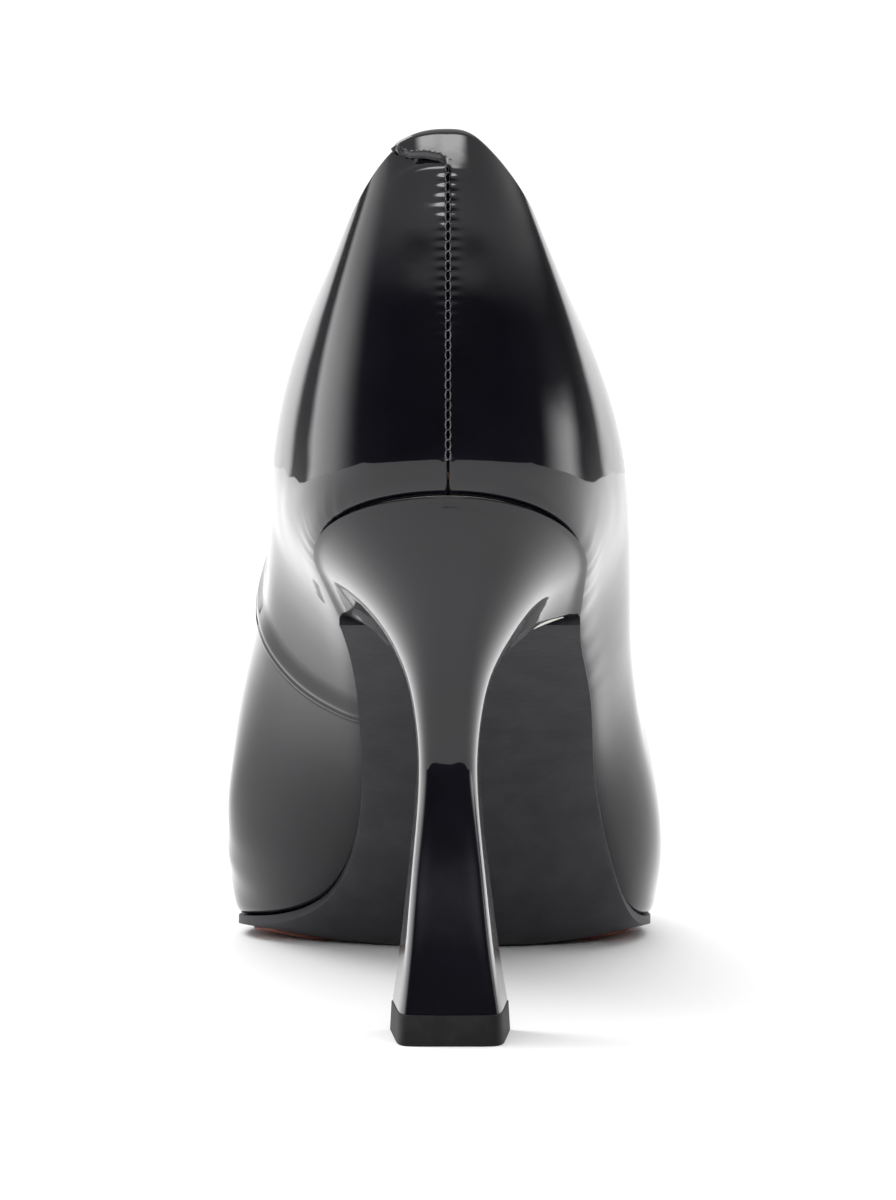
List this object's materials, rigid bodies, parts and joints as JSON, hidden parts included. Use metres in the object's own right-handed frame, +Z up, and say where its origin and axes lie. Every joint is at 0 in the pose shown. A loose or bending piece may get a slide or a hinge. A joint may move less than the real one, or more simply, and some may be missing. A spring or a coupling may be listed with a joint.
{
  "type": "high heel pump",
  "caption": "Right-foot pump in black patent leather with a pointed toe, a dog-tail tab over the stitched back seam and a high flared heel covered in the same leather.",
  "frame": {"origin": "bottom centre of the shoe's bounding box, on the floor", "axes": "+Z up, +Y from the heel to the toe, +X to the outer side of the foot"},
  "size_m": [0.0836, 0.2374, 0.1537],
  "materials": {
    "patent_leather": "high gloss lacquer",
    "lining_leather": "matt",
    "fibre_board": "matt",
    "woven_backer": "matt",
    "woven_tape": "matt",
    "black_thread": "matt",
    "steel": "bright",
    "latex_foam": "matt",
    "cork": "matt",
    "sole_leather": "matt",
    "tread_rubber": "matt",
    "heel_plastic": "matt",
    "lift_rubber": "matt"
  },
  "bodies": {
    "shoe": {"vamp_and_lateral_quarter": "patent_leather", "medial_quarter": "patent_leather", "quarter_lining": "lining_leather", "vamp_lining": "lining_leather", "heel_counter": "fibre_board", "toe_puff": "fibre_board", "lateral_backer": "woven_backer", "medial_backer": "woven_backer", "topline_tape": "woven_tape", "back_seam_tape": "woven_tape", "back_seam_stitches": "black_thread", "medial_seam_stitches": "black_thread", "dog_tail_stitches": "black_thread", "shank_rivets": "steel", "heel_nails": "steel", "heel_screw": "steel", "insole_board": "fibre_board", "sock_foam": "latex_foam", "sock_lining": "lining_leather", "bottom_filler": "cork", "steel_shank": "steel", "outsole": "sole_leather", "tread_pad": "tread_rubber", "heel_cover": "patent_leather", "heel_block": "heel_plastic", "heel_breast_cover": "patent_leather", "heel_dowel": "steel", "top_lift": "lift_rubber", "top_lift_pin": "steel"}
  },
  "joints": []
}
